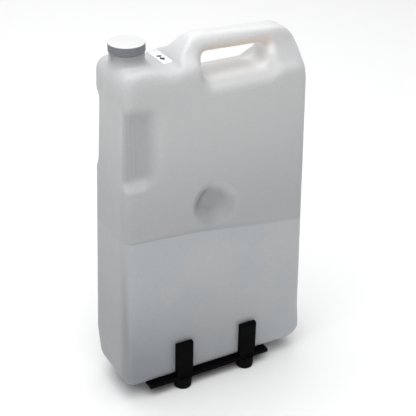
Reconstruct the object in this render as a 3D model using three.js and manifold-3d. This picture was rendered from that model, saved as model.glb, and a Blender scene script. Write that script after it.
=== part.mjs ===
// Slim portable liquid tank with a carry handle, a screw cap and a low bracket on four rubber feet.
// Millimetres, +Z up, front face towards -Y. The origin is on the floor under the middle of the tank.
import * as THREE from "three";
import { mergeVertices } from "three/addons/utils/BufferGeometryUtils.js";
import Module from "manifold-3d";

const wasm = await Module();
wasm.setup();

const GAP = 0.3;

// Blow-moulded tank. Heights of the tank are measured from its own base.
const TANK_Z = 28;
const TANK_WIDTH = 370.5;
const TANK_DEPTH = 127.7;
const SHOULDER_Z = 600;
const NECK_RISE = 8;
const DRAFT = 0.06;
const EDGE_R = 20;
const WALL = 3;
const SILL_TOP_Z = 573;
const HANDLE_TOP_Z = 641;
const HANDLE_END_Z = 631;
const WINDOW = { left: -16, right: 118, bottom: 566, top: 604.5, corner: 15, flare: 14, straight: 32 };
const DIMPLE = { x: -4, z: 343, mouth: 43, floor: 15, depth: 26 };
const GRIP = { right: -106, bottom: 397, top: 560, depth: 11, slope: 22, sidePull: 8.4, lean: 6 };

// Neck and cap share one upright axis.
const NECK_X = -139.6;
const COLLAR_R = 29.5;
const COLLAR_TOP_Z = 628.6;
const RIM_Z = 640.2;
const CORE_R = 26.4;
const BORE_R = 23.4;
const THREAD = { radius: 26.6, section: 1.3, pitch: 6, turns: 1.25, bottom: 631.2 };
const CAP = { bottom: 629, height: 15, radius: 31, inner: 28.5, roof: 2 };
const LINER = { radius: 27.6, bottom: 640.5, thickness: 1.2 };
const LABEL = { x0: -80, x1: -64, y0: -16, y1: 43, thickness: 0.4 };

// Bracket: heights from the floor.
const RAIL = { x0: -141, x1: 111, y: 75.5, width: 30, z0: 20, thickness: 7.7 };
const UPRIGHT_XS = [-69.5, 65.3];
const UPRIGHT = { width: 33, height: 72, thickness: 9.3, face: 66.2, lean: 1.3, corner: 3 };
const FOOT = { y: 65, top: 17.5, bottom: 16.5, height: 19.7, bore: 3.3, sink: 6.5, sinkDepth: 9 };
const FOOT_SCREW = { head: 5.5, headHeight: 4, shank: 2.8, tip: 27 };
const TAB_SCREW = { y: 71, head: 4.6, shank: 2.2, coneHeight: 2.6, length: 22 };

const MATERIALS = {
  polyethylene: new THREE.MeshStandardMaterial({ color: 0xdfe2e2, roughness: 0.42, metalness: 0 }),
  capWhite: new THREE.MeshStandardMaterial({ color: 0xf1f1ef, roughness: 0.38, metalness: 0 }),
  liner: new THREE.MeshStandardMaterial({ color: 0xe2dfd6, roughness: 0.8, metalness: 0 }),
  paper: new THREE.MeshStandardMaterial({ color: 0xfbfbfa, roughness: 0.6, metalness: 0 }),
  blackSteel: new THREE.MeshStandardMaterial({ color: 0x0c0c0d, roughness: 0.5, metalness: 0.3 }),
  rubber: new THREE.MeshStandardMaterial({ color: 0x0a0a0a, roughness: 0.85, metalness: 0 }),
  screwSteel: new THREE.MeshStandardMaterial({ color: 0x3c3e41, roughness: 0.4, metalness: 0.9 }),
};

// ---- solids ----

function solid(geometry) {
  const bare = geometry.clone();
  bare.deleteAttribute("normal");
  bare.deleteAttribute("uv");
  const merged = mergeVertices(bare, 1e-3);
  return new wasm.Manifold(
    new wasm.Mesh({
      numProp: 3,
      vertProperties: merged.attributes.position.array,
      triVerts: new Uint32Array(merged.index.array),
    }),
  );
}

function geometryOf(body) {
  const mesh = body.getMesh();
  const indexed = new THREE.BufferGeometry();
  indexed.setAttribute("position", new THREE.BufferAttribute(mesh.vertProperties, 3));
  indexed.setIndex(new THREE.BufferAttribute(mesh.triVerts, 1));
  const geometry = indexed.toNonIndexed();
  geometry.computeVertexNormals();
  return geometry;
}

// Closed outline through corners [x, y, radius], listed anticlockwise, moved inwards by inset.
// Each corner is rounded by an arc that keeps its centre when the outline moves.
function outline(corners, inset = 0, steps = 5) {
  const count = corners.length;
  const lines = corners.map(([x, y], i) => {
    const [nx, ny] = corners[(i + 1) % count];
    const along = new THREE.Vector2(nx - x, ny - y).normalize();
    const inward = new THREE.Vector2(-along.y, along.x);
    return { point: new THREE.Vector2(x, y).addScaledVector(inward, inset), along };
  });
  const points = [];
  for (let i = 0; i < count; i++) {
    const before = lines[(i + count - 1) % count];
    const after = lines[i];
    const turn = before.along.cross(after.along);
    const gap = after.point.clone().sub(before.point);
    const corner = before.point.clone().addScaledVector(before.along, gap.cross(after.along) / turn);
    const radius = corners[i][2] - inset * Math.sign(turn);
    if (corners[i][2] === 0 || radius <= 0.05) {
      points.push(corner);
      continue;
    }
    const angle = Math.atan2(turn, before.along.dot(after.along));
    const run = radius * Math.tan(Math.abs(angle) / 2);
    const start = corner.clone().addScaledVector(before.along, -run);
    const side = new THREE.Vector2(-before.along.y, before.along.x).multiplyScalar(Math.sign(turn) * radius);
    const centre = start.clone().add(side);
    for (let k = 0; k <= steps; k++) {
      points.push(start.clone().rotateAround(centre, (angle * k) / steps));
    }
  }
  return new THREE.Shape(points);
}

// Extrusion of an XZ outline across the depth, centred on y = 0.
function acrossDepth(shape, depth, bevel = {}) {
  const { thickness = 0, size = 0, offset = 0, segments = 4 } = bevel;
  const geometry = new THREE.ExtrudeGeometry(shape, {
    depth: depth - 2 * thickness,
    bevelEnabled: thickness > 0,
    bevelThickness: thickness,
    bevelSize: size,
    bevelOffset: offset,
    bevelSegments: segments,
    curveSegments: 1,
  });
  geometry.translate(0, 0, thickness - depth / 2);
  geometry.rotateX(Math.PI / 2);
  return geometry;
}

// Extrusion of a YZ outline along the width, centred on x = 0.
function alongWidth(shape, width) {
  const geometry = new THREE.ExtrudeGeometry(shape, { depth: width, bevelEnabled: false, curveSegments: 1 });
  geometry.translate(0, 0, -width / 2);
  const axes = new THREE.Matrix4().makeBasis(
    new THREE.Vector3(0, 1, 0),
    new THREE.Vector3(0, 0, 1),
    new THREE.Vector3(1, 0, 0),
  );
  return geometry.applyMatrix4(axes);
}

// Turned body about +Z from a profile of [radius, z] pairs that runs from the axis back to the axis.
function turned(profile, segments = 40) {
  const points = profile.map(([radius, z]) => new THREE.Vector2(radius, z));
  return new THREE.LatheGeometry(points, segments).rotateX(Math.PI / 2);
}

// The moulding draft: every section shrinks evenly from the base to the shoulder.
function withDraft(geometry) {
  const positions = geometry.attributes.position;
  for (let i = 0; i < positions.count; i++) {
    const scale = 1 + DRAFT * (0.5 - positions.getZ(i) / SHOULDER_Z);
    positions.setX(i, positions.getX(i) * scale);
    positions.setY(i, positions.getY(i) * scale);
  }
  return geometry;
}

// ---- tank ----

function bodyBlock(inset) {
  const half = TANK_WIDTH / 2;
  const corners = [
    [-half, 0, 30],
    [half, 0, 30],
    [half, SILL_TOP_Z, 28],
    [4, SILL_TOP_Z, 30],
    [-22, SHOULDER_Z, 27],
    [-96, SHOULDER_Z, 60],
    [-128, SHOULDER_Z + NECK_RISE, 60],
    [6 - half, SHOULDER_Z + NECK_RISE, 23],
  ];
  const radius = EDGE_R - inset;
  const bevel = { thickness: radius, size: radius, offset: -radius };
  return solid(withDraft(acrossDepth(outline(corners, inset), TANK_DEPTH - 2 * inset, bevel)));
}

function handleBlock(inset) {
  const side = [
    [-90, 540, 0],
    [180.4, 540, 0],
    [171, HANDLE_END_Z, 43],
    [-24, HANDLE_TOP_Z, 36],
    [-60, SHOULDER_Z - 0.5, 10],
    [-90, SHOULDER_Z - 0.5, 0],
  ];
  const end = [
    [-61, 520, 0],
    [61, 520, 0],
    [61, 553, 12],
    [22, 606, 30],
    [18, HANDLE_TOP_Z, 16],
    [-18, HANDLE_TOP_Z, 16],
    [-22, 606, 30],
    [-61, 553, 12],
  ];
  const radius = EDGE_R - 1 - inset;
  const bevel = { thickness: radius, size: radius, offset: -radius };
  const fromSide = solid(acrossDepth(outline(side, inset), 122 - 2 * inset, bevel));
  const fromEnd = solid(alongWidth(outline(end, inset), 400));
  return fromSide.intersect(fromEnd);
}

// The hand opening, widening towards both faces.
function windowCut(grow) {
  const { left, right, bottom, top, corner, flare, straight } = WINDOW;
  const corners = [
    [left, bottom, corner],
    [right, bottom, corner],
    [right, top, corner],
    [left, top, corner],
  ];
  const reach = 63;
  const bevel = { thickness: reach - straight / 2, size: -flare, offset: flare };
  return solid(acrossDepth(outline(corners, -grow, 4), 2 * reach, bevel));
}

// Blunt conical dimples in both broad faces.
function dimpleCut(grow) {
  const faceY = (TANK_DEPTH / 2) * (1 + DRAFT * (0.5 - DIMPLE.z / SHOULDER_Z));
  const floorY = faceY - DIMPLE.depth - grow;
  const slope = (DIMPLE.mouth - DIMPLE.floor) / DIMPLE.depth;
  const reach = 4;
  const wide = DIMPLE.mouth + grow + slope * reach;
  const tip = DIMPLE.floor + grow;
  const cone = turned([[0, floorY], [tip, floorY], [wide, faceY + reach], [0, faceY + reach]], 30);
  const back = cone.clone().rotateX(-Math.PI / 2).translate(DIMPLE.x, 0, DIMPLE.z);
  const front = cone.clone().rotateX(Math.PI / 2).translate(DIMPLE.x, 0, DIMPLE.z);
  return solid(front).add(solid(back));
}

// Finger pockets on both broad faces and the shallow pull in the narrow face between them.
function gripCut(grow) {
  const { right, bottom, top, depth, slope, sidePull, lean } = GRIP;
  const middle = (top + bottom) / 2;
  const widthAt = 1 + DRAFT * (0.5 - middle / SHOULDER_Z);
  const sideX = (-TANK_WIDTH / 2) * widthAt + sidePull + grow;
  const floorY = (TANK_DEPTH / 2) * widthAt - depth - grow;
  const pocket = [
    [-230, bottom, 0],
    [right, bottom, 44],
    [right, top, 46],
    [-230, top, 0],
  ];
  const slab = 40;
  const bevel = { thickness: depth, size: slope, offset: -slope };
  const block = acrossDepth(outline(pocket, -grow), slab, bevel);
  const front = solid(block.clone().translate(0, -floorY - slab / 2, 0));
  const back = solid(block.clone().translate(0, floorY + slab / 2, 0));
  const pull = [
    [-230, bottom - 4, 0],
    [sideX - 9, bottom - 4, 0],
    [sideX, bottom + 10, 10],
    [sideX + lean, top - 20, 30],
    [sideX - 4, top + 20, 0],
    [-230, top + 20, 0],
  ];
  return front.add(back).add(solid(acrossDepth(outline(pull), 150)));
}

function neckOutside() {
  const body = solid(
    turned([
      [0, 585],
      [COLLAR_R, 585],
      [COLLAR_R, COLLAR_TOP_Z],
      [CORE_R, COLLAR_TOP_Z],
      [CORE_R, RIM_Z - 0.8],
      [CORE_R - 0.8, RIM_Z],
      [0, RIM_Z],
    ], 36).translate(NECK_X, 0, 0),
  );
  const lug = new THREE.BoxGeometry(4, 5, 8).translate(NECK_X - COLLAR_R, -4, 620);
  return body.add(solid(lug)).add(thread());
}

// One start of rounded thread, 1.25 turns long.
function thread() {
  const steps = 30;
  const points = [];
  for (let i = 0; i <= steps; i++) {
    const turn = (THREAD.turns * i) / steps;
    const angle = 2 * Math.PI * turn;
    const z = THREAD.bottom + THREAD.pitch * turn;
    points.push(new THREE.Vector3(NECK_X + THREAD.radius * Math.cos(angle), THREAD.radius * Math.sin(angle), z));
  }
  const section = new THREE.Shape().absarc(0, 0, THREAD.section, 0, 2 * Math.PI, false);
  const path = new THREE.CatmullRomCurve3(points);
  return solid(new THREE.ExtrudeGeometry(section, { steps, extrudePath: path, curveSegments: 6 }));
}

function neckBore() {
  return solid(turned([[0, 580], [BORE_R, 580], [BORE_R, RIM_Z + 5], [0, RIM_Z + 5]], 36).translate(NECK_X, 0, 0));
}

function tankGeometry() {
  const outside = bodyBlock(0)
    .add(handleBlock(0))
    .subtract(windowCut(0))
    .subtract(dimpleCut(0))
    .subtract(gripCut(0))
    .add(neckOutside());
  const inside = bodyBlock(WALL)
    .add(handleBlock(WALL + 0.5))
    .subtract(windowCut(WALL + 1))
    .subtract(dimpleCut(WALL + 1))
    .subtract(gripCut(WALL))
    .add(neckBore());
  return geometryOf(outside.subtract(inside)).translate(0, 0, TANK_Z);
}

// ---- cap, liner and label ----

function capGeometry() {
  const { bottom, height, radius, inner, roof } = CAP;
  const groove = radius - 0.8;
  const profile = [[0, height - roof], [inner, height - roof], [inner, 0], [radius - 0.5, 0], [radius, 0.5]];
  for (const z of [2.6, 6.4, 10.2]) {
    profile.push([radius, z], [groove, z + 0.9], [radius, z + 1.8]);
  }
  profile.push([radius, height - 1.6], [radius - 1.7, height], [0, height]);
  return turned(profile, 40).translate(NECK_X, 0, TANK_Z + bottom);
}

function linerGeometry() {
  const { radius, bottom, thickness } = LINER;
  const profile = [[0, 0], [radius, 0], [radius, thickness], [0, thickness]];
  return turned(profile, 32).translate(NECK_X, 0, TANK_Z + bottom);
}

function labelGeometry() {
  const { x0, x1, y0, y1, thickness } = LABEL;
  const z = TANK_Z + SHOULDER_Z + GAP + thickness / 2;
  return new THREE.BoxGeometry(x1 - x0, y1 - y0, thickness).translate((x0 + x1) / 2, (y0 + y1) / 2, z);
}

// ---- bracket: side is -1 for the front and 1 for the back ----

function railGeometry(side) {
  const { x0, x1, y, width, z0, thickness } = RAIL;
  const middle = side * (y - width / 2);
  const bar = new THREE.BoxGeometry(x1 - x0, width, thickness);
  let body = solid(bar.translate((x0 + x1) / 2, middle, z0 + thickness / 2));
  const clearance = FOOT_SCREW.shank + 0.4;
  const plain = turned([[0, z0 - 5], [clearance, z0 - 5], [clearance, 40], [0, 40]], 16);
  const hole = TAB_SCREW.shank + 0.4;
  const cone = TAB_SCREW.head + 0.4;
  const sunk = turned(
    [[0, z0 - 1], [cone, z0 - 1], [cone, z0], [hole, z0 + TAB_SCREW.coneHeight], [hole, 40], [0, 40]],
    16,
  );
  for (const x of UPRIGHT_XS) {
    body = body.subtract(solid(plain.clone().translate(x, side * FOOT.y, 0)));
    body = body.subtract(solid(sunk.clone().translate(x + 11, side * TAB_SCREW.y, 0)));
  }
  return geometryOf(body);
}

function crossGeometry(x) {
  const reach = RAIL.y - RAIL.width - GAP;
  const bar = new THREE.BoxGeometry(30, 2 * reach, RAIL.thickness);
  return bar.translate(x, 0, RAIL.z0 + RAIL.thickness / 2);
}

function uprightGeometry(x, side) {
  const { width, height, thickness, face, lean, corner } = UPRIGHT;
  const foot = RAIL.z0 + RAIL.thickness + GAP;
  const top = foot + height;
  const corners = [
    [face, foot, 0],
    [face + thickness, foot, 0],
    [face + thickness + lean, top, corner],
    [face + lean, top, 1],
  ];
  const facing = side > 0 ? corners : corners.map(([y, z, r]) => [-y, z, r]).reverse();
  const tab = solid(alongWidth(outline(facing, 0, 4), width).translate(x, 0, 0));
  const hole = TAB_SCREW.shank + 0.3;
  const deep = RAIL.z0 + TAB_SCREW.length + 1;
  const pilot = turned([[0, 20], [hole, 20], [hole, deep], [0, deep + 1.5]], 16);
  return geometryOf(tab.subtract(solid(pilot.translate(x + 11, side * TAB_SCREW.y, 0))));
}

function footGeometry(x, side) {
  const { y, top, bottom, height, bore, sink, sinkDepth } = FOOT;
  const profile = [
    [bore, sinkDepth],
    [sink, sinkDepth],
    [sink, 0],
    [bottom - 1.6, 0],
    [bottom, 1.8],
    [top, height],
    [bore, height],
    [bore, sinkDepth],
  ];
  return turned(profile, 28).translate(x, side * y, 0);
}

function footScrewGeometry(x, side) {
  const { head, headHeight, shank, tip } = FOOT_SCREW;
  const seat = FOOT.sinkDepth - GAP;
  const profile = [
    [0, seat - headHeight],
    [head - 1, seat - headHeight],
    [head, seat - headHeight + 1],
    [head, seat],
    [shank, seat],
    [shank, tip - 0.8],
    [shank - 0.8, tip],
    [0, tip],
  ];
  return turned(profile, 16).translate(x, side * FOOT.y, 0);
}

function tabScrewGeometry(x, side) {
  const { y, head, shank, coneHeight, length } = TAB_SCREW;
  const seat = RAIL.z0 + 0.1;
  const profile = [
    [0, seat],
    [head, seat],
    [shank, seat + coneHeight],
    [shank, RAIL.z0 + length - 0.8],
    [shank - 0.8, RAIL.z0 + length],
    [0, RAIL.z0 + length],
  ];
  return turned(profile, 16).translate(x + 11, side * y, 0);
}

// ---- assembly ----

const tote = new THREE.Group();

function place(name, geometry, material) {
  const mesh = new THREE.Mesh(geometry, material);
  mesh.name = name;
  tote.add(mesh);
}

place("tank_body", tankGeometry(), MATERIALS.polyethylene);
place("screw_cap", capGeometry(), MATERIALS.capWhite);
place("cap_liner", linerGeometry(), MATERIALS.liner);
place("shoulder_label", labelGeometry(), MATERIALS.paper);

for (const [end, side] of [["front", -1], ["back", 1]]) {
  place(`rail_${end}`, railGeometry(side), MATERIALS.blackSteel);
  for (const [hand, x] of [["left", UPRIGHT_XS[0]], ["right", UPRIGHT_XS[1]]]) {
    place(`upright_${end}_${hand}`, uprightGeometry(x, side), MATERIALS.blackSteel);
    place(`foot_${end}_${hand}`, footGeometry(x, side), MATERIALS.rubber);
    place(`foot_screw_${end}_${hand}`, footScrewGeometry(x, side), MATERIALS.screwSteel);
    place(`upright_screw_${end}_${hand}`, tabScrewGeometry(x, side), MATERIALS.screwSteel);
  }
}
place("cross_bar_left", crossGeometry(UPRIGHT_XS[0]), MATERIALS.blackSteel);
place("cross_bar_right", crossGeometry(UPRIGHT_XS[1]), MATERIALS.blackSteel);

export default tote;
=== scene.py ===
"""Portable liquid tank in a low bracket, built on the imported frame. Metres, +Z up, front face towards -Y."""
import itertools
import math

import bpy
import numpy as np
from mathutils import Matrix, Vector


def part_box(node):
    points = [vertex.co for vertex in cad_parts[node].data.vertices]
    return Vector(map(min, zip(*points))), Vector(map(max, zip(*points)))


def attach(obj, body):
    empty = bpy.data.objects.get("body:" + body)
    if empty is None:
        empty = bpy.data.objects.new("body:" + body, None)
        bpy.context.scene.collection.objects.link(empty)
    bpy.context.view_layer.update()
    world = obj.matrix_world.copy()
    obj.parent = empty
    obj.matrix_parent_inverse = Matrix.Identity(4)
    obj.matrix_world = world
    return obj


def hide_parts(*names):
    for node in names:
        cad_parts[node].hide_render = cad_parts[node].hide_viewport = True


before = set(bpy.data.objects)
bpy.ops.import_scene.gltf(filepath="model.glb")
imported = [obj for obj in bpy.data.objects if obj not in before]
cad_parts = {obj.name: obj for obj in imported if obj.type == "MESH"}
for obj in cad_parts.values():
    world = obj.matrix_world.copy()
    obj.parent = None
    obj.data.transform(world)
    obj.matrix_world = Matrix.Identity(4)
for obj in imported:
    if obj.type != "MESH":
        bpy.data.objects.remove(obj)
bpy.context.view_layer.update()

MM = 0.001
SHARP_ANGLE = math.radians(40)

# ---- the tank in millimetres; its heights start at its own base ----

TANK_Z = 28.0
TANK_WIDTH = 370.5
TANK_DEPTH = 127.7
SHOULDER_Z = 600.0
SHOULDER_RISE = 8.0
SILL_Z = 573.0
HANDLE_Z = 641.4
HANDLE_END_Z = 630.5
HANDLE_DEPTH = 122.0
DRAFT = 0.06
EDGE_R = 18.0
BASE_EDGE_FRONT_R = 9.0
BASE_EDGE_BACK_R = 38.0
SOFTENING = 3.4

POCKET_DEPTH = 11.0
POCKET_SLOPE = 26.0
DIMPLE_X = -4.0
DIMPLE_Z = 343.0
DIMPLE_DEPTH = 26.0
DIMPLE_FLOOR_R = 15.0
DIMPLE_MOUTH_R = 46.0
DIMPLE_FACE_Y = 63.6

NECK_X = -139.6
COLLAR_R = 29.5
COLLAR_ROOT = 560.0
COLLAR_TOP = 628.4
COLLAR_EDGE_R = 1.0
COLLAR_BLEND = 12.0
RIM_Z = 640.2
CORE_R = 26.4
BORE_R = 23.4
BORE_FOOT = 580.0
THREAD_PITCH = 6.0
THREAD_START = 631.2
THREAD_TURNS = 1.25
THREAD_R = 1.3

# ---- cap, liner and bracket in millimetres ----

CAP_BOTTOM = 629.0
CAP_HEIGHT = 15.0
CAP_R = 31.0
LINER_BOTTOM = 640.5
UPRIGHT_XS = (-69.5, 65.3)
FOOT_Y = 65.0

# ---- the grid that the tank's skin is sampled on, in millimetres ----

GRID_STEP = 2.0
WALL = 2.25 * GRID_STEP
GRID_LOW = np.array([-198.0, -72.0, -8.0])
GRID_HIGH = np.array([198.0, 72.0, 652.0])

# ---- colours ----

DRY_WALL = ((0.522, 0.523, 0.526), (0.548, 0.549, 0.552))
# painted shade low on the dry wall, and painted light on the shoulder and the handle
DRY_LOW_SHADE = (0.392, 0.397, 0.407)
SHOULDER_LIGHT = (0.560, 0.560, 0.566)
HANDLE_LIGHT = (0.730, 0.730, 0.734)
WET_WALL = ((0.470, 0.476, 0.484), (0.450, 0.469, 0.489))
# painted shade on the wet wall, towards the base and at the left end
WET_LOW_SHADE = (0.262, 0.280, 0.302)
WET_END_SHADE = (0.218, 0.234, 0.254)
# painted shade on the left end face
LEFT_END_SHADE = (0.375, 0.381, 0.392)
LIQUID_LINE = (0.290, 0.318, 0.355)
# painted shade on the collar under the cap
NECK_SHADE = (0.34, 0.35, 0.36)
WINDOW_TONE = (0.76, 0.76, 0.76)
WINDOW_FAR_END = (0.93, 0.93, 0.93)
UNDER_BAR = (0.69, 0.61, 0.545)
DISH_FLOOR = (0.400, 0.403, 0.410)
DISH_UPPER = (0.560, 0.562, 0.568)
DISH_CREASE = (0.235, 0.250, 0.275)
# painted shade in the finger pocket and its grooves, and a painted highlight on its ledge
GRIP_SHADE = (0.355, 0.358, 0.364)
LEDGE_HIGHLIGHT = (0.590, 0.596, 0.606)
RIB_GROOVE_SHADE = (0.25, 0.26, 0.28)


# ---- node helpers ----


class Value:
    """A number that varies over a surface: arithmetic on it adds the matching shader nodes."""

    def __init__(self, nodes, socket):
        self.nodes = nodes
        self.socket = socket

    def __add__(self, other):
        return self.nodes.math("ADD", self, other)

    def __sub__(self, other):
        return self.nodes.math("SUBTRACT", self, other)

    def __rsub__(self, other):
        return self.nodes.math("SUBTRACT", other, self)

    def __mul__(self, other):
        return self.nodes.math("MULTIPLY", self, other)

    def __truediv__(self, other):
        return self.nodes.math("DIVIDE", self, other)

    def __pow__(self, power):
        return self.nodes.math("POWER", self, power)

    def __abs__(self):
        return self.nodes.math("ABSOLUTE", self)

    def clamped(self):
        """The same number, kept between 0 and 1."""
        return self.nodes.math("MULTIPLY", self, 1.0, clamp=True)

    def ramp(self, start, end, low=0.0, high=1.0):
        """Goes straight from low at start to high at end, and stays at those beyond."""
        return self.nodes.map_range(self, (start, end), (low, high), "LINEAR")

    def fade(self, start, end, low=0.0, high=1.0):
        """Goes smoothly from low at start to high at end."""
        return self.nodes.map_range(self, (start, end), (low, high), "SMOOTHSTEP")


class Nodes:
    """A new material and short ways to add and join its shader nodes."""

    def __init__(self, name):
        self.material = bpy.data.materials.new(name)
        self.material.use_nodes = True
        self.tree = self.material.node_tree
        self.tree.nodes.clear()
        self.shader = self.add("ShaderNodeBsdfPrincipled")
        output = self.add("ShaderNodeOutputMaterial")
        self.tree.links.new(self.shader.outputs[0], output.inputs["Surface"])
        self.place = self.add("ShaderNodeTexCoord").outputs["Object"]

    def add(self, kind, **values):
        node = self.tree.nodes.new(kind)
        for key, value in values.items():
            setattr(node, key, value)
        return node

    def feed(self, socket, value):
        """Sets a socket to a number or colour, or links it to a value or another socket."""
        if isinstance(value, (int, float)):
            socket.default_value = value
        elif isinstance(value, tuple):
            socket.default_value = value if len(value) == len(socket.default_value) else (*value, 1.0)
        else:
            self.tree.links.new(value.socket if isinstance(value, Value) else value, socket)

    def axes(self):
        node = self.add("ShaderNodeSeparateXYZ")
        self.feed(node.inputs[0], self.place)
        return [Value(self, output) for output in node.outputs]

    def noise(self, scale, detail=3.0, roughness=0.5):
        node = self.add("ShaderNodeTexNoise")
        node.inputs["Scale"].default_value = scale
        node.inputs["Detail"].default_value = detail
        node.inputs["Roughness"].default_value = roughness
        self.feed(node.inputs["Vector"], self.place)
        return Value(self, node.outputs["Fac"])

    def math(self, operation, first, second=0.0, clamp=False):
        node = self.add("ShaderNodeMath", operation=operation, use_clamp=clamp)
        self.feed(node.inputs[0], first)
        self.feed(node.inputs[1], second)
        return Value(self, node.outputs[0])

    def map_range(self, value, reach, result, interpolation):
        node = self.add("ShaderNodeMapRange", interpolation_type=interpolation)
        self.feed(node.inputs["Value"], value)
        for name, number in zip(("From Min", "From Max", "To Min", "To Max"), (*reach, *result)):
            node.inputs[name].default_value = number
        return Value(self, node.outputs[0])

    def mix(self, amount, first, second, blend="MIX"):
        """Colour that goes from first to second as amount goes from 0 to 1."""
        node = self.add("ShaderNodeMix", data_type="RGBA", blend_type=blend)
        by_name = {socket.identifier: socket for socket in node.inputs}
        self.feed(by_name["Factor_Float"], amount)
        self.feed(by_name["A_Color"], first)
        self.feed(by_name["B_Color"], second)
        return next(socket for socket in node.outputs if socket.identifier == "Result_Color")

    def tint(self, colour, strength):
        """Multiplies a colour by one grey strength."""
        grey = self.add("ShaderNodeCombineColor")
        for socket in grey.inputs:
            self.feed(socket, strength)
        return self.mix(1.0, colour, grey.outputs[0], "MULTIPLY")

    def bump(self, height, strength, distance):
        node = self.add("ShaderNodeBump")
        node.inputs["Strength"].default_value = strength
        node.inputs["Distance"].default_value = distance
        self.feed(node.inputs["Height"], height)
        self.feed(self.shader.inputs["Normal"], node.outputs[0])

    def set(self, **values):
        for key, value in values.items():
            self.feed(self.shader.inputs[key.replace("_", " ")], value)


# ---- the tank's material: places are in metres, from the floor and the middle of the bracket ----

LIQUID_Z = 0.316
LIQUID_TILT = 0.125
LIQUID_SAG = 0.0075
WINDOW_X = 0.056
BAR_UNDERSIDE_Z = 0.637
CREASE_X = -0.024
CREASE_RISE = 0.007
RIB_PITCH = 0.0074
RIB_HEIGHT = 1.2
DIAGONAL = 0.7


def dry_wall(n, x, z):
    """The wall above the liquid, with painted shade and light: darker low down, lighter at the shoulder and
    lightest on the handle.
    """
    tone = n.mix(n.noise(6.0), *DRY_WALL)
    # painted shade: the dry wall is darker low down
    tone = n.mix(z.fade(0.32, 0.56, 0.85, 0.0), tone, DRY_LOW_SHADE)
    # painted light: lighter on the top of the shoulder and on the thin handle
    shoulder = z.fade(0.592, 0.622)
    tone = n.mix(shoulder, tone, SHOULDER_LIGHT)
    handle = z.fade(0.625, 0.660) * x.fade(0.11, 0.17, 1.0, 0.3)
    return n.mix(handle, tone, HANDLE_LIGHT)


def wet_wall(n, x, z):
    """The wall with liquid behind it: cool in patches, and darkened by painted shade towards the base and the
    left end.
    """
    patches = n.noise(11.0, 2.0).fade(0.42, 0.58)
    tone = n.mix(patches, *WET_WALL)
    # painted shade: darker towards the base, most on the left
    low_shade = (z.fade(0.03, 0.27, 0.95, 0.0) * x.ramp(-0.19, 0.19, 1.15, 0.0)).clamped()
    tone = n.mix(low_shade, tone, WET_LOW_SHADE)
    # painted shade on the lower part of the left end face
    left_end_shade = x.fade(-0.174, -0.182) * z.ramp(0.13, 0.33, 1.0, 0.0)
    return n.mix(left_end_shade, tone, WET_END_SHADE)


def above_liquid(n, x, z):
    """Height above the liquid's surface, which shows tilted, rippled and sagging towards the left end."""
    ripple = (n.noise(9.0, 1.0) - 0.5) * 0.004
    sag = x.ramp(-0.040, -0.180) ** 1.4
    return z + x * LIQUID_TILT + ripple - LIQUID_Z + sag * LIQUID_SAG


def paint_liquid_line(n, colour, x, height, broad_face):
    """A dark line on the broad faces that fades out over a few millimetres above the surface."""
    width = x.ramp(-0.170, -0.020, 0.006, 0.013)
    line = height.ramp(0.0, 0.001) * (1.0 - height / width).clamped()
    line = line * (x.fade(-0.178, -0.160) * x.ramp(-0.02, 0.10, 0.55, 0.18)) * broad_face
    return n.mix(line, colour, LIQUID_LINE)


def paint_neck_shade(n, colour, x, y, z):
    """Painted shade: the collar turns grey where the cap shades it."""
    radius = ((x - NECK_X * MM) ** 2.0 + y ** 2.0) ** 0.5
    neck = radius.fade(0.031, 0.036, 1.0, 0.0) * z.ramp(0.628, 0.650)
    return n.mix(neck, colour, NECK_SHADE)


def paint_window(n, colour, x, z, deep):
    """Light that comes through the thin walls of the hand opening, warm under the bar."""
    inside = abs(x - WINDOW_X).fade(0.060, 0.078, 1.0, 0.0) * deep.fade(0.024, 0.050, 1.0, 0.0)
    hollow = inside * z.fade(0.628, 0.640, 1.0, 0.0) * z.fade(0.580, 0.592)
    colour = n.mix(hollow, colour, WINDOW_TONE)
    far_end = hollow * x.fade(0.085, 0.110) * deep.fade(0.022, 0.034, 1.0, 0.0)
    colour = n.mix(far_end, colour, WINDOW_FAR_END)
    bar = inside * abs(z - BAR_UNDERSIDE_Z).ramp(0.005, 0.016, 1.0, 0.0)
    return n.mix(bar, colour, UNDER_BAR)


def paint_dimple(n, colour, x, z, deep):
    """Shade in the round dimple, with its lighter upper right and the crease at its upper left."""
    along = x - DIMPLE_X * MM
    rise = z - (DIMPLE_Z + TANK_Z) * MM
    dish = ((along ** 2.0 + rise ** 2.0) ** 0.5).fade(0.044, 0.048, 1.0, 0.0) * deep.ramp(0.0625, 0.0600)
    colour = n.mix(dish * 0.5, colour, DISH_FLOOR)
    upper = (rise + x * 0.5).fade(0.008, 0.036, 0.0, 0.75)
    colour = n.mix(dish * upper, colour, DISH_UPPER)
    right = x - CREASE_X
    above = rise - CREASE_RISE
    lengthwise = abs((right + above) * DIAGONAL)
    crosswise = abs((above - right) * DIAGONAL)
    crease = lengthwise.fade(0.010, 0.027, 1.0, 0.0) * crosswise.fade(0.0, 0.011, 1.0, 0.0)
    return n.mix(dish * crease * 0.75, colour, DISH_CREASE)


def paint_grip(n, colour, x, z, deep, broad_face):
    """Painted shade in the ribbed finger pocket, a painted highlight on the ledge at its foot, and a line of
    painted shade in each groove.
    """
    grip = x.fade(-0.108, -0.136) * z.fade(0.440, 0.456) * z.fade(0.560, 0.586, 1.0, 0.0)
    grip = grip * deep.fade(0.043, 0.050)
    colour = n.mix(grip * 0.6, colour, GRIP_SHADE)
    ledge = x.fade(-0.128, -0.142) * x.ramp(-0.186, -0.174) * z.fade(0.424, 0.432)
    ledge = ledge * z.fade(0.442, 0.450, 1.0, 0.0) * broad_face
    colour = n.mix(ledge * 0.55, colour, LEDGE_HIGHLIGHT)
    lines = rib_wave(n, x) ** 24.0 * grip * x.fade(-0.150, -0.143, 0.22, 0.0)
    return n.mix(lines, colour, RIB_GROOVE_SHADE)


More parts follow.
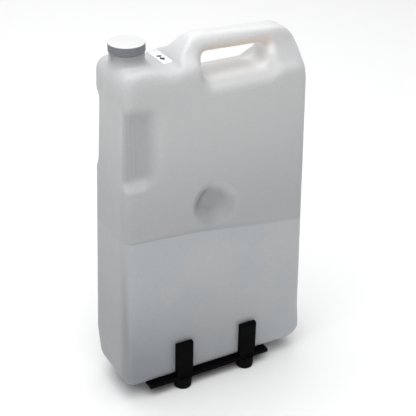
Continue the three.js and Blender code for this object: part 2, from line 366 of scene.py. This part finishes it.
def rib_wave(n, x):
    """A wave from 0 to 1 across the upright ribs, with one peak for each."""
    return abs(n.math("SINE", x * (math.pi / RIB_PITCH)))


def rib_relief(n, x, z, deep):
    """Grooves between the ribs of the finger pocket, for the bump."""
    zone = x.fade(-0.150, -0.143, 1.0, 0.0) * z.fade(0.43, 0.45) * z.fade(0.555, 0.575, 1.0, 0.0)
    return rib_wave(n, x) ** 12.0 * zone * deep.fade(0.045, 0.050) * -RIB_HEIGHT


def polyethylene():
    """Milky blow-moulded polyethylene: the liquid inside shows as a faint line and a cooler tone below it."""
    n = Nodes("polyethylene")
    x, y, z = n.axes()
    deep = abs(y)
    broad_face = deep.fade(0.048, 0.060)
    height = above_liquid(n, x, z)
    under = height.fade(0.0015, -0.0015) * broad_face.ramp(0.0, 1.0, 0.55, 1.0)
    colour = n.mix(under, dry_wall(n, x, z), wet_wall(n, x, z))
    # painted shade: the left end face below the shoulder is darker
    left_end_shade = x.fade(-0.168, -0.182, 0.0, 0.42) * z.ramp(0.615, 0.585)
    colour = n.mix(left_end_shade, colour, LEFT_END_SHADE)
    colour = paint_liquid_line(n, colour, x, height, broad_face)
    colour = paint_neck_shade(n, colour, x, y, z)
    colour = paint_window(n, colour, x, z, deep)
    colour = paint_dimple(n, colour, x, z, deep)
    colour = paint_grip(n, colour, x, z, deep, broad_face)
    mottle = n.noise(240.0, 3.0, 0.7).ramp(0.35, 0.65, 0.965, 1.02)
    colour = n.tint(colour, mottle)
    fine = n.noise(900.0, 3.0, 0.6) * 0.35
    broad = n.noise(14.0, 2.0)
    seam = deep.fade(0.0003, 0.0009, 0.9, 0.0)
    n.bump(fine + broad + seam + rib_relief(n, x, z, deep), 0.35, 0.0006)
    n.set(Base_Color=colour, Roughness=n.noise(60.0, 4.0).ramp(0.3, 0.7, 0.42, 0.54))
    n.set(Subsurface_Weight=0.4, Subsurface_Scale=0.014, Subsurface_Radius=(1.0, 0.95, 0.9))
    n.set(Specular_IOR_Level=0.35, IOR=1.5)
    return n.material


# ---- the other materials ----


def cap_plastic():
    """White moulded cap, with painted shade that greys its banded side all round."""
    n = Nodes("cap_white")
    _, _, z = n.axes()
    # painted shade: all of the cap below its top disc is grey
    side = z.fade(0.6705, 0.6712, 1.0, 0.0)
    white = n.mix(n.noise(120.0, 4.0), (0.76, 0.76, 0.755), (0.72, 0.72, 0.715))
    grey = n.mix(n.noise(160.0, 4.0), (0.228, 0.240, 0.259), (0.190, 0.201, 0.219))
    n.bump(n.noise(1400.0, 3.0, 0.6), 0.25, 0.0003)
    n.set(Base_Color=n.mix(side, white, grey), Roughness=n.noise(70.0).ramp(0.3, 0.7, 0.36, 0.48))
    n.set(Subsurface_Weight=0.05, Subsurface_Scale=0.002)
    return n.material


def liner_foam():
    """Pale foam with fine closed cells."""
    n = Nodes("liner_foam")
    cells = n.add("ShaderNodeTexVoronoi")
    cells.inputs["Scale"].default_value = 1500.0
    n.feed(cells.inputs["Vector"], n.place)
    n.bump(cells.outputs["Distance"], 0.5, 0.0003)
    colour = n.mix(n.noise(200.0), (0.80, 0.78, 0.72), (0.70, 0.68, 0.62))
    n.set(Base_Color=colour, Roughness=0.85)
    return n.material


def label_paper():
    """White label with a small generic dark mark: a lozenge and a square on its corner."""
    n = Nodes("label_paper")
    x, y, _ = n.axes()
    middle_x, middle_y = -0.0717, 0.0125
    across = abs(x - middle_x)
    along = y - middle_y
    lozenge = (across * 1.6 + abs(along + 0.0060)).ramp(0.0076, 0.0082, 1.0, 0.0)
    square = (across + abs(along - 0.0065)).ramp(0.0052, 0.0058, 1.0, 0.0)
    mark = n.math("MAXIMUM", lozenge, square)
    fibre = n.mix(n.noise(600.0, 4.0), (0.93, 0.93, 0.925), (0.88, 0.88, 0.875))
    n.set(Base_Color=n.mix(mark, fibre, (0.035, 0.04, 0.06)), Roughness=0.5)
    n.bump(n.noise(1200.0), 0.2, 0.0002)
    return n.material


def powder_coat():
    """Black coat of the steel bracket, with the fine orange-peel of sprayed powder."""
    n = Nodes("black_steel")
    colour = n.mix(n.noise(90.0, 4.0), (0.0010, 0.0010, 0.0011), (0.0022, 0.0022, 0.0024))
    n.bump(n.noise(1100.0, 2.0), 0.5, 0.0004)
    n.set(Base_Color=colour, Roughness=n.noise(40.0).ramp(0.3, 0.7, 0.60, 0.72), Specular_IOR_Level=0.04)
    return n.material


def foot_rubber():
    """Matt black rubber of the feet."""
    n = Nodes("foot_rubber")
    colour = n.mix(n.noise(150.0, 5.0), (0.0015, 0.0015, 0.0015), (0.003, 0.003, 0.003))
    n.bump(n.noise(700.0, 4.0, 0.7), 0.6, 0.0004)
    n.set(Base_Color=colour, Roughness=0.82, Specular_IOR_Level=0.08)
    return n.material


def screw_steel():
    """Dark plated steel of the screws."""
    n = Nodes("screw_steel")
    colour = n.mix(n.noise(300.0, 4.0), (0.03, 0.03, 0.032), (0.07, 0.068, 0.066))
    n.bump(n.noise(1500.0, 2.0), 0.3, 0.0002)
    n.set(Base_Color=colour, Metallic=1.0, Roughness=n.noise(200.0).ramp(0.3, 0.7, 0.35, 0.5))
    return n.material


# ---- meshes ----


def mesh_object(name, vertices, faces, material, smooth=True):
    mesh = bpy.data.meshes.new(name)
    mesh.from_pydata([tuple(v) for v in vertices], [], [tuple(f) for f in faces])
    mesh.update()
    if smooth:
        mesh.shade_smooth()
    mesh.materials.append(material)
    made = bpy.data.objects.new(name, mesh)
    bpy.context.scene.collection.objects.link(made)
    return made


def turned(name, profile, material, segments=96, centre=(0.0, 0.0, 0.0)):
    """Turned body about +Z from (radius, z) pairs in millimetres.

    The pairs close on themselves or start and end on the axis.
    """
    closed = profile[0] == profile[-1]
    if closed:
        profile = profile[:-1]
    vertices, faces, rings = [], [], []
    for radius, z in profile:
        count = segments if radius > 0 else 1
        rings.append(list(range(len(vertices), len(vertices) + count)))
        for k in range(count):
            angle = 2 * math.pi * k / segments
            point = (radius * math.cos(angle), radius * math.sin(angle), z)
            vertices.append(tuple((c + middle) * MM for c, middle in zip(point, centre)))
    pairs = list(zip(rings, rings[1:]))
    if closed:
        pairs.append((rings[-1], rings[0]))
    for low, high in pairs:
        for k in range(segments):
            j = (k + 1) % segments
            corners = (low[k % len(low)], low[j % len(low)], high[j % len(high)], high[k % len(high)])
            faces.append(tuple(dict.fromkeys(corners)))
    made = mesh_object(name, vertices, faces, material)
    made.data.set_sharp_from_angle(angle=SHARP_ANGLE)
    flip_if_inside_out(made)
    return made


def flip_if_inside_out(made):
    """Turns a closed mesh's faces outwards if its signed volume is negative."""
    mesh = made.data
    mesh.calc_loop_triangles()
    volume = 0.0
    for t in mesh.loop_triangles:
        a, b, c = (mesh.vertices[i].co for i in t.vertices)
        volume += a.dot(b.cross(c))
    if volume < 0:
        mesh.flip_normals()


def soften(piece, width):
    """Rounds the sharp edges of a piece."""
    bevel = piece.modifiers.new("soft_edges", "BEVEL")
    bevel.width = width
    bevel.segments = 2
    bevel.limit_method = "ANGLE"
    bevel.angle_limit = SHARP_ANGLE
    bevel.harden_normals = False


# ---- distance fields: negative inside, in millimetres ----


def rounded_outline(corners, steps=10):
    """Closed outline through (u, v, radius) corners listed anticlockwise, each corner rounded by an arc."""
    points = []
    count = len(corners)
    for i, (u, v, radius) in enumerate(corners):
        here = np.array([u, v], float)
        before = here - np.array(corners[i - 1][:2], float)
        after = np.array(corners[(i + 1) % count][:2], float) - here
        before /= np.linalg.norm(before)
        after /= np.linalg.norm(after)
        turn = before[0] * after[1] - before[1] * after[0]
        angle = math.atan2(turn, float(before @ after))
        if radius == 0:
            points.append(here)
            continue
        start = here - before * radius * math.tan(abs(angle) / 2)
        side = math.copysign(radius, turn)
        centre = start + np.array([-before[1], before[0]]) * side
        arm = start - centre
        for k in range(steps + 1):
            a = angle * k / steps
            c, s = math.cos(a), math.sin(a)
            points.append(centre + np.array([c * arm[0] - s * arm[1], s * arm[0] + c * arm[1]]))
    return np.array(points)


def outline_distance(u, v, corners):
    """Signed distance from each point to the outline through some rounded corners."""
    outline = rounded_outline(corners)
    nearest = np.full(u.shape, np.inf)
    inside = np.zeros(u.shape, bool)
    for a, b in zip(outline, np.roll(outline, -1, axis=0)):
        e = b - a
        if e @ e < 1e-12:
            continue
        wu, wv = u - a[0], v - a[1]
        t = np.clip((wu * e[0] + wv * e[1]) / (e @ e), 0, 1)
        nearest = np.minimum(nearest, (wu - t * e[0]) ** 2 + (wv - t * e[1]) ** 2)
        if e[1] != 0:
            crosses = (a[1] > v) != (b[1] > v)
            inside ^= crosses & (u < a[0] + (v - a[1]) * e[0] / e[1])
    distance = np.sqrt(nearest)
    return np.where(inside, -distance, distance)


def rounded_slab(flat, depth, radius):
    """Joins a field across the face with one through the depth, with an edge of the given radius."""
    a, b = flat + radius, depth + radius
    outside = np.hypot(np.maximum(a, 0), np.maximum(b, 0))
    return outside + np.minimum(np.maximum(a, b), 0) - radius


def smooth_union(a, b, reach):
    h = np.maximum(reach - np.abs(a - b), 0) / reach
    return np.minimum(a, b) - h * h * reach / 4


def smooth_cut(a, b, reach):
    """What is left of a after b is taken away, with an edge softened over reach."""
    return -smooth_union(-a, b, reach)


def share(value, start, end):
    """Goes straight from 0 at start to 1 at end, and stays at those beyond."""
    return np.clip((value - start) / (end - start), 0, 1)


def blurred(field, sigma):
    """Gaussian blur along all three axes: softens every edge of the moulding alike."""
    cells = sigma / GRID_STEP
    reach = int(math.ceil(3 * cells))
    weights = np.exp(-0.5 * (np.arange(-reach, reach + 1) / cells) ** 2)
    weights /= weights.sum()
    for axis in range(3):
        padded = np.pad(field, [(reach, reach) if k == axis else (0, 0) for k in range(3)], mode="edge")
        total = np.zeros_like(field)
        for offset, weight in enumerate(weights):
            window = [slice(None)] * 3
            window[axis] = slice(offset, offset + field.shape[axis])
            total += np.float32(weight) * padded[tuple(window)]
        field = total
    return field


# ---- the tank's skin ----


class Grid:
    """The points that the tank is sampled at, as rows along each axis that spread over the whole grid."""

    def __init__(self):
        axes = [np.arange(lo, hi + 0.1, GRID_STEP) for lo, hi in zip(GRID_LOW, GRID_HIGH)]
        self.xs, self.ys, self.zs = axes
        self.x = self.xs[:, None, None].astype(np.float32)
        self.y = self.ys[None, :, None].astype(np.float32)
        self.z = self.zs[None, None, :].astype(np.float32)
        self.deep = np.abs(self.y)
        self.face = self.deep - TANK_DEPTH / 2 * (1 + DRAFT * (0.5 - self.z / SHOULDER_Z))

    def front_view(self, corners, taper=0.0):
        """Distance to an outline in x and z, drawn at mid height and wider below by the taper."""
        x, z = np.meshgrid(self.xs, self.zs, indexing="ij")
        scale = 1 + taper * (0.5 - z / SHOULDER_Z)
        distance = outline_distance(x / scale, z, corners) * scale
        return distance.astype(np.float32)[:, None, :]

    def end_view(self, corners):
        """Distance to an outline in y and z."""
        y, z = np.meshgrid(self.ys, self.zs, indexing="ij")
        return outline_distance(y, z, corners).astype(np.float32)[None]


def body_field(grid):
    """The slim body with its shoulders; the edge of its base is crisp in front and round at the back."""
    half = TANK_WIDTH / 2
    shoulder = SHOULDER_Z + SHOULDER_RISE
    flat = grid.front_view([
        (-half, 0, 30), (half, 0, 30), (half, SILL_Z, 28),
        (4, SILL_Z, 30), (-22, SHOULDER_Z, 27), (-96, SHOULDER_Z, 60),
        (-128, shoulder, 60), (6 - half, shoulder + 1, 23),
    ], taper=DRAFT)
    front = share(-grid.y, -20, 20)
    base_edge = BASE_EDGE_BACK_R + (BASE_EDGE_FRONT_R - BASE_EDGE_BACK_R) * front
    edge = EDGE_R + share(-grid.z, -70, -20) * (base_edge - EDGE_R)
    return rounded_slab(flat, grid.face, edge)


def upper_field(grid):
    """The outline of the handle and its feet, as deep as the body."""
    flat = grid.front_view([
        (-90, 520, 0), (180.4, 540, 0), (171, HANDLE_END_Z, 43),
        (-26, HANDLE_Z, 36), (-68, SHOULDER_Z - 2, 12), (-90, SHOULDER_Z - 2, 0),
    ])
    return rounded_slab(flat, grid.deep - HANDLE_DEPTH / 2, EDGE_R - 1)


def handle_field(grid, upper):
    """The bar of the handle: narrow at the top, spreading to the body's depth at its foot."""
    top, waist, foot = 18, 22, 61
    section = grid.end_view([
        (-foot, 520, 0), (foot, 520, 0), (foot, 553, 12), (waist, 606, 30), (top, HANDLE_Z, 16),
        (-top, HANDLE_Z, 16), (-waist, 606, 30), (-foot, 553, 12),
    ])
    return np.maximum(upper, section)


def cut_window(field, grid):
    """Cuts the hand opening: it flares towards both faces, most at its sill and its left end."""
    near_x, near_z = (grid.xs > -80) & (grid.xs < 185), grid.zs > 520
    x, y, z = np.meshgrid(grid.xs[near_x], grid.ys, grid.zs[near_z], indexing="ij")
    deep = np.abs(y)
    reach = share(deep, 16, 63)
    flare = 1 - np.sqrt(1 - reach * reach)
    left = share(-x, -60, 20)
    drift = 8 * left * share(deep, 20, 40) + 10 * (1 - left) * flare
    corners = [(-14, 566, 15), (118, 566, 15), (119, 603, 15), (-14, 606, 15)]
    opening = outline_distance(x + drift, z, corners) - 16 * flare
    softness = 10 + 12 * share(z, 585, 605)
    spot = np.ix_(near_x, np.ones(len(grid.ys), bool), near_z)
    field[spot] = smooth_cut(field[spot], opening.astype(np.float32), softness.astype(np.float32))


def press_grips(field, grid):
    """Presses the finger pocket into both faces, and the step that it makes in the left end."""
    flat = grid.front_view([(-230, 397, 0), (-106, 397, 44), (-106, 560, 46), (-230, 560, 0)])
    slope = share(-flat, 0, POCKET_SLOPE)
    pocket = POCKET_DEPTH * slope * slope * (3 - 2 * slope)
    pressed = np.where(grid.x < -100, np.maximum(field, grid.face + pocket), field)
    step = grid.front_view([
        (-230, 393, 0), (-187, 393, 0), (-176.8, 408, 10), (-170.8, 540, 40), (-181, 582, 0), (-230, 582, 0),
    ])
    return np.maximum(pressed, -step)


def press_dimples(field, grid):
    """Presses a round dimple with slanting walls and a flat floor into the middle of both faces."""
    floor = DIMPLE_FACE_Y - DIMPLE_DEPTH
    radius = DIMPLE_FLOOR_R + (DIMPLE_MOUTH_R - DIMPLE_FLOOR_R) * (grid.deep - floor) / DIMPLE_DEPTH
    wall_cosine = 0.68
    cone = (np.hypot(grid.x - DIMPLE_X, grid.z - DIMPLE_Z) - radius) * wall_cosine
    return smooth_cut(field, smooth_cut(cone, grid.deep - floor, 5), 2.5)


def tank_fields():
    """The outer skin, and the neck's bore, sampled on the grid."""
    grid = Grid()
    body = body_field(grid)
    upper = upper_field(grid)
    blend = 8 + 34 * share(-grid.x, -30, 30)
    joined = smooth_union(body, handle_field(grid, upper), blend)
    field = np.maximum(joined, np.minimum(body, upper))
    cut_window(field, grid)
    field = blurred(press_grips(field, grid).astype(np.float32), SOFTENING)
    field = press_dimples(field, grid)
    from_axis = np.hypot(grid.x - NECK_X, grid.y)
    collar = rounded_slab(from_axis - COLLAR_R, grid.z - COLLAR_TOP, COLLAR_EDGE_R)
    field = smooth_union(field, np.maximum(collar, COLLAR_ROOT - grid.z), COLLAR_BLEND)
    bore = np.maximum(from_axis - BORE_R, BORE_FOOT - grid.z)
    return field, bore


def surface_net(field):
    """Quads around every sign change of the field, and each vertex in grid units."""
    inside = field < 0
    shape = np.array(field.shape) - 1
    corners = list(itertools.product((0, 1), repeat=3))
    count = np.zeros(shape, np.uint8)
    for i, j, k in corners:
        count += inside[i : i + shape[0], j : j + shape[1], k : k + shape[2]]
    active = (count > 0) & (count < 8)
    number = np.full(shape, -1, np.int64)
    cells = np.argwhere(active)
    number[active] = np.arange(len(cells))
    total = np.zeros((len(cells), 3))
    hits = np.zeros(len(cells))
    for corner in corners:
        for axis in range(3):
            if corner[axis]:
                continue
            a = cells + corner
            b = a.copy()
            b[:, axis] += 1
            fa, fb = field[tuple(a.T)], field[tuple(b.T)]
            cross = (fa < 0) != (fb < 0)
            t = np.where(cross, fa / np.where(cross, fa - fb, 1), 0)
            point = np.tile(np.array(corner, float), (len(cells), 1))
            point[:, axis] += t
            total[cross] += point[cross]
            hits += cross
    vertices = cells + total / hits[:, None]
    faces = []
    for axis in range(3):
        u, v = (axis + 1) % 3, (axis + 2) % 3
        near = [slice(None)] * 3
        far = [slice(None)] * 3
        near[axis], far[axis] = slice(0, -1), slice(1, None)
        change = inside[tuple(near)] != inside[tuple(far)]
        spots = np.argwhere(change)
        spots = spots[(spots[:, u] > 0) & (spots[:, v] > 0)]
        spots = spots[(spots[:, u] < shape[u]) & (spots[:, v] < shape[v])]
        ring = []
        for du, dv in ((0, 0), (-1, 0), (-1, -1), (0, -1)):
            cell = spots.copy()
            cell[:, u] += du
            cell[:, v] += dv
            ring.append(number[tuple(cell.T)])
        ring = np.stack(ring, axis=1)
        solid_below = inside[tuple(spots.T)]
        ring[~solid_below] = ring[~solid_below][:, ::-1]
        faces.append(ring)
    return vertices, np.concatenate(faces)


def sampled(field, points):
    """Trilinear value of a field at points in grid units."""
    base = np.clip(np.floor(points).astype(int), 0, np.array(field.shape) - 2)
    part = points - base
    value = np.zeros(len(points))
    for corner in itertools.product((0, 1), repeat=3):
        weight = np.prod(np.where(corner, part, 1 - part), axis=1)
        value += weight * field[tuple((base + corner).T)]
    return value


def on_surface(points, layers):
    """Moves each vertex onto the nearest of the layers that made it."""
    for _ in range(2):
        values = np.stack([sampled(layer, points) for layer in layers])
        nearest = np.abs(values).argmin(axis=0)
        for index, layer in enumerate(layers):
            mine = nearest == index
            if not mine.any():
                continue
            spots = points[mine]
            slope = np.zeros_like(spots)
            for axis in range(3):
                ahead = spots.copy()
                behind = spots.copy()
                ahead[:, axis] += 0.5
                behind[:, axis] -= 0.5
                slope[:, axis] = sampled(layer, ahead) - sampled(layer, behind)
            size = np.maximum((slope * slope).sum(axis=1), 0.2)
            move = slope * (values[index][mine] / size)[:, None]
            points[mine] = spots - np.clip(move, -0.4, 0.4)
    return points


def make_tank(material):
    """The hollow skin, open at its neck, with its threaded end and lug; returns the skin's field."""
    skin, bore = tank_fields()
    inner = skin + np.float32(WALL)
    shell = np.maximum(np.maximum(skin, -inner), -bore)
    vertices, faces = surface_net(shell)
    vertices = on_surface(vertices, [skin, inner, bore])
    placed = (vertices * GRID_STEP + GRID_LOW + (0, 0, TANK_Z)) * MM
    tank = mesh_object("tank_shell", placed, faces, material)
    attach(tank, "tank")
    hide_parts("tank_body")
    for piece in (neck_finish(material), neck_thread(material), neck_lug(material)):
        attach(piece, "tank")
    return skin


def neck_finish(material):
    """The upper end of the neck: a turned wall whose rim is rounded."""
    wall = 0.6
    foot = COLLAR_TOP - 6
    lap = 0.05
    profile = [
        (BORE_R - lap, foot), (CORE_R, foot), (CORE_R, RIM_Z - wall),
        (CORE_R - 0.2, RIM_Z - 0.15), (CORE_R - wall, RIM_Z), (BORE_R + wall, RIM_Z),
        (BORE_R + 0.1, RIM_Z - 0.2), (BORE_R - lap, RIM_Z - wall), (BORE_R - lap, foot),
    ]
    return turned("neck_finish", profile, material, 128, (NECK_X, 0.0, TANK_Z))


def neck_thread(material):
    """One rounded thread wound on the neck, tapered at both ends."""
    steps, sides = 160, 12
    vertices, faces = [], []
    for i in range(steps + 1):
        turn = THREAD_TURNS * i / steps
        angle = 2 * math.pi * turn
        taper = min(1.0, 6 * i / steps, 6 * (1 - i / steps)) ** 0.5
        radius = max(THREAD_R * taper, 0.05)
        for k in range(sides):
            a = 2 * math.pi * k / sides
            out = CORE_R + 0.1 + radius * math.cos(a)
            z = THREAD_START + THREAD_PITCH * turn + radius * math.sin(a)
            point = (NECK_X + out * math.cos(angle), out * math.sin(angle), z + TANK_Z)
            vertices.append(tuple(c * MM for c in point))
    for i in range(steps):
        for k in range(sides):
            j = (k + 1) % sides
            faces.append((i * sides + k, i * sides + j, (i + 1) * sides + j, (i + 1) * sides + k))
    faces.append(tuple(reversed(range(sides))))
    faces.append(tuple(range(steps * sides, (steps + 1) * sides)))
    thread = mesh_object("neck_thread", vertices, faces, material)
    flip_if_inside_out(thread)
    return thread


def neck_lug(material):
    """Small wedge on the collar that the cap's rim passes."""
    root, out, low, high = COLLAR_R - 2.0, COLLAR_R + 2.0, 616.0, 624.0
    half_width, middle_y = 2.5, -4.0
    outline = [(root, low), (COLLAR_R + 0.4, low), (out, low + 3.0), (out, high), (root, high)]
    vertices = []
    for side in (-1, 1):
        for radius, z in outline:
            point = (NECK_X - radius, side * half_width + middle_y, z + TANK_Z)
            vertices.append(tuple(c * MM for c in point))
    count = len(outline)
    faces = [tuple(range(count)), tuple(range(2 * count - 1, count - 1, -1))]
    faces += [(k, count + k, count + (k + 1) % count, (k + 1) % count) for k in range(count)]
    lug = mesh_object("neck_lug", vertices, faces, material, smooth=False)
    flip_if_inside_out(lug)
    soften(lug, 0.0005)
    return lug


# ---- cap, liner, label ----


def make_cap(material):
    """Screw cap: two thread ridges inside, a bead at its rim and three raised bands round its side."""
    h, ridge, band = CAP_HEIGHT, 28.1, CAP_R - 0.05
    profile = [(0, 12.9), (27.0, 12.9), (28.3, 12.4), (28.5, 11.6)]
    for z in (8.8, 2.9):
        profile += [(28.5, z + 0.9), (28.15, z + 0.45), (ridge, z), (28.15, z - 0.45), (28.5, z - 0.9)]
    profile += [(28.5, 0.4), (28.8, 0.0), (30.3, 0.0), (30.75, 0.15), (band, 0.6), (band, 1.5), (30.7, 1.9)]
    profile += [(30.0, 2.2), (29.9, 2.7)]
    for z in (3.0, 7.0, 11.0):
        profile += [(30.2, z), (30.75, z + 0.25), (band, z + 0.7), (band, z + 2.2), (30.75, z + 2.7)]
        if z < 11:
            profile += [(30.2, z + 2.95), (29.9, z + 3.2), (29.9, z + 3.8)]
    profile += [(30.6, h - 0.9), (30.1, h - 0.45), (29.4, h - 0.15), (28.4, h), (0, h)]
    cap = turned("cap_shell", profile, material, 144, (NECK_X, 0.0, TANK_Z + CAP_BOTTOM))
    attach(cap, "cap")
    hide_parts("screw_cap")


def make_liner(material):
    profile = [(0, 0), (26.8, 0), (27.3, 0.15), (27.5, 0.5), (27.5, 0.8), (27.3, 1.1), (26.9, 1.2), (0, 1.2)]
    liner = turned("liner_disc", profile, material, 96, (NECK_X, 0.0, TANK_Z + LINER_BOTTOM))
    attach(liner, "liner")
    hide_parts("cap_liner")


def surface_height(skin, xs, ys):
    """Height of the tank's top surface in millimetres over each point, from the skin's field."""
    column = np.arange(650.0, 590.0, -0.25)
    x, y, z = np.meshgrid(xs, ys, column, indexing="ij")
    spots = (np.stack([x, y, z], axis=-1).reshape(-1, 3) - GRID_LOW) / GRID_STEP
    inside = sampled(skin, spots).reshape(x.shape) < 0
    return column[inside.argmax(axis=2)]


def rounded_place(x, y, xs, ys, corner):
    """Pulls a point of a rectangle in, where it lies outside the rounded corners."""
    inset_x = max(0.0, corner - min(x - xs[0], xs[-1] - x))
    inset_y = max(0.0, corner - min(y - ys[0], ys[-1] - y))
    reach = math.hypot(inset_x, inset_y)
    pull = corner / reach if reach > corner else 1.0
    toward_x = math.copysign(inset_x * (1 - pull), xs.mean() - x)
    toward_y = math.copysign(inset_y * (1 - pull), ys.mean() - y)
    return x + toward_x, y + toward_y


def sheet_faces(columns, rows):
    """Faces of a closed sheet of two layers of points, column by column, and the ring that joins them."""
    count = columns * rows
    faces = []
    for i in range(columns - 1):
        for j in range(rows - 1):
            a = i * rows + j
            faces.append((a, a + 1, a + rows + 1, a + rows))
            faces.append((count + a, count + a + rows, count + a + rows + 1, count + a + 1))
    ring = list(range(rows))
    ring += [i * rows + rows - 1 for i in range(1, columns)]
    ring += [(columns - 1) * rows + j for j in range(rows - 2, -1, -1)]
    ring += [i * rows for i in range(columns - 2, 0, -1)]
    for a, b in zip(ring, ring[1:] + ring[:1]):
        faces.append((a, count + a, count + b, b))
    return faces


def make_label(skin, material):
    """Thin label with rounded corners that follows the shoulder and the foot of the handle."""
    low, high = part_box("shoulder_label")
    columns, rows = 17, 61
    thickness, corner, lift, climb = 0.35, 0.7, 0.05, 12
    xs = np.linspace(low.x, high.x, columns) / MM
    ys = np.linspace(low.y, high.y, rows) / MM
    heights = surface_height(skin, xs, ys) + TANK_Z
    heights = np.minimum(np.maximum(heights, heights.mean(axis=1, keepdims=True)), high.z / MM + climb)
    vertices = []
    for layer in (lift, thickness):
        for i, x in enumerate(xs):
            for j, y in enumerate(ys):
                place = (*rounded_place(x, y, xs, ys, corner), heights[i, j] + layer)
                vertices.append(tuple(c * MM for c in place))
    label = mesh_object("label_sheet", vertices, sheet_faces(columns, rows), material)
    label.data.set_sharp_from_angle(angle=SHARP_ANGLE)
    flip_if_inside_out(label)
    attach(label, "tank")
    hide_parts("shoulder_label")


# ---- bracket ----


def finish_node(name, material):
    """Gives a CAD node its material and returns it."""
    node = bpy.data.objects[name]
    node.data.materials.clear()
    node.data.materials.append(material)
    return node


def finish_bracket(steel):
    """The rails, bars and uprights keep their CAD shape and get soft edges and a powder coat."""
    names = ["rail_front", "rail_back", "cross_bar_left", "cross_bar_right"]
    names += [f"upright_{end}_{hand}" for end in ("front", "back") for hand in ("left", "right")]
    for name in names:
        soften(finish_node(name, steel), 0.0006)


def make_feet(rubber, steel):
    """Turned rubber feet with a flared foot and a screw's bore, and the steel of the screws."""
    profile = [(3.3, 9.0), (6.5, 9.0), (6.5, 0.8), (7.1, 0.0), (14.6, 0.0), (15.7, 0.35), (16.3, 1.1)]
    profile += [(16.55, 2.2), (17.35, 18.2), (17.2, 19.2), (16.6, 19.65), (3.3, 19.65), (3.3, 9.0)]
    for end, side in (("front", -1), ("back", 1)):
        for hand, x in zip(("left", "right"), UPRIGHT_XS):
            foot = turned(f"rubber_foot_{end}_{hand}", profile, rubber, 96, (x, side * FOOT_Y, 0.0))
            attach(foot, "bracket")
            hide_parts(f"foot_{end}_{hand}")
            finish_node(f"foot_screw_{end}_{hand}", steel)
            finish_node(f"upright_screw_{end}_{hand}", steel)


# ---- stage, light and camera ----


def make_stage():
    """Round pale floor just under the feet."""
    n = Nodes("studio_floor")
    n.set(Base_Color=(0.94, 0.94, 0.94), Roughness=0.9, Specular_IOR_Level=0.1)
    radius, sides, drop = 3.2, 96, 0.0003
    rim = [2 * math.pi * k / sides for k in range(sides)]
    corners = [(radius * math.cos(a), radius * math.sin(a), -drop) for a in rim]
    floor = mesh_object("studio_floor", corners, [tuple(range(sides))], n.material, smooth=False)


def area_light(name, place, target, size, power):
    data = bpy.data.lights.new(name, "AREA")
    data.shape = "RECTANGLE"
    data.size, data.size_y = size
    data.energy = power
    made = bpy.data.objects.new(name, data)
    made.location = place
    direction = Vector(target) - Vector(place)
    made.rotation_euler = direction.to_track_quat("-Z", "Y").to_euler()
    bpy.context.scene.collection.objects.link(made)


def make_world():
    """White surroundings, bright at the level of the floor and dim overhead."""
    world = bpy.data.worlds.new("studio")
    bpy.context.scene.world = world
    world.use_nodes = True
    tree = world.node_tree
    background = tree.nodes["Background"]
    background.inputs["Color"].default_value = (0.98, 0.99, 1.0, 1.0)
    direction = tree.nodes.new("ShaderNodeTexCoord")
    split = tree.nodes.new("ShaderNodeSeparateXYZ")
    tree.links.new(direction.outputs["Generated"], split.inputs[0])
    fade = tree.nodes.new("ShaderNodeMapRange")
    fade.interpolation_type = "SMOOTHSTEP"
    for name, number in (("From Min", 0.03), ("From Max", 0.35), ("To Min", 0.92), ("To Max", 0.06)):
        fade.inputs[name].default_value = number
    tree.links.new(split.outputs[2], fade.inputs["Value"])
    tree.links.new(fade.outputs[0], background.inputs["Strength"])


def make_light():
    make_world()
    area_light("overhead_softbox", (-0.9, -1.0, 4.4), (0, 0, 0.2), (5.5, 5.5), 262.0)
    area_light("back_softbox", (1.0, 2.6, 4.0), (1.0, 2.6, 0.0), (5.0, 4.0), 95.0)
    bpy.context.scene.view_settings.view_transform = "Standard"


def make_camera():
    """Perspective camera at the height and angle of the view that the object is known from."""
    yaw, pitch, roll = (math.radians(v) for v in (-29.3, 28.8, 0.87))
    forward = Vector((-math.sin(yaw) * math.cos(pitch), math.cos(yaw) * math.cos(pitch), -math.sin(pitch)))
    level = Vector((math.cos(yaw), math.sin(yaw), 0.0))
    upright = level.cross(forward)
    right = math.cos(roll) * level + math.sin(roll) * upright
    up = -math.sin(roll) * level + math.cos(roll) * upright
    data = bpy.data.cameras.new("camera")
    data.lens = 95.4
    data.sensor_width = 36.0
    data.clip_end = 50.0
    camera = bpy.data.objects.new("camera", data)
    axes = Matrix((right, up, -forward)).transposed()
    camera.matrix_world = Matrix.Translation((-0.8469, -1.5379, 1.295)) @ axes.to_4x4()
    bpy.context.scene.collection.objects.link(camera)
    bpy.context.scene.camera = camera


make_camera()
make_stage()
make_light()
tank_skin = make_tank(polyethylene())
make_cap(cap_plastic())
make_liner(liner_foam())
make_label(tank_skin, label_paper())
finish_bracket(powder_coat())
make_feet(foot_rubber(), screw_steel())
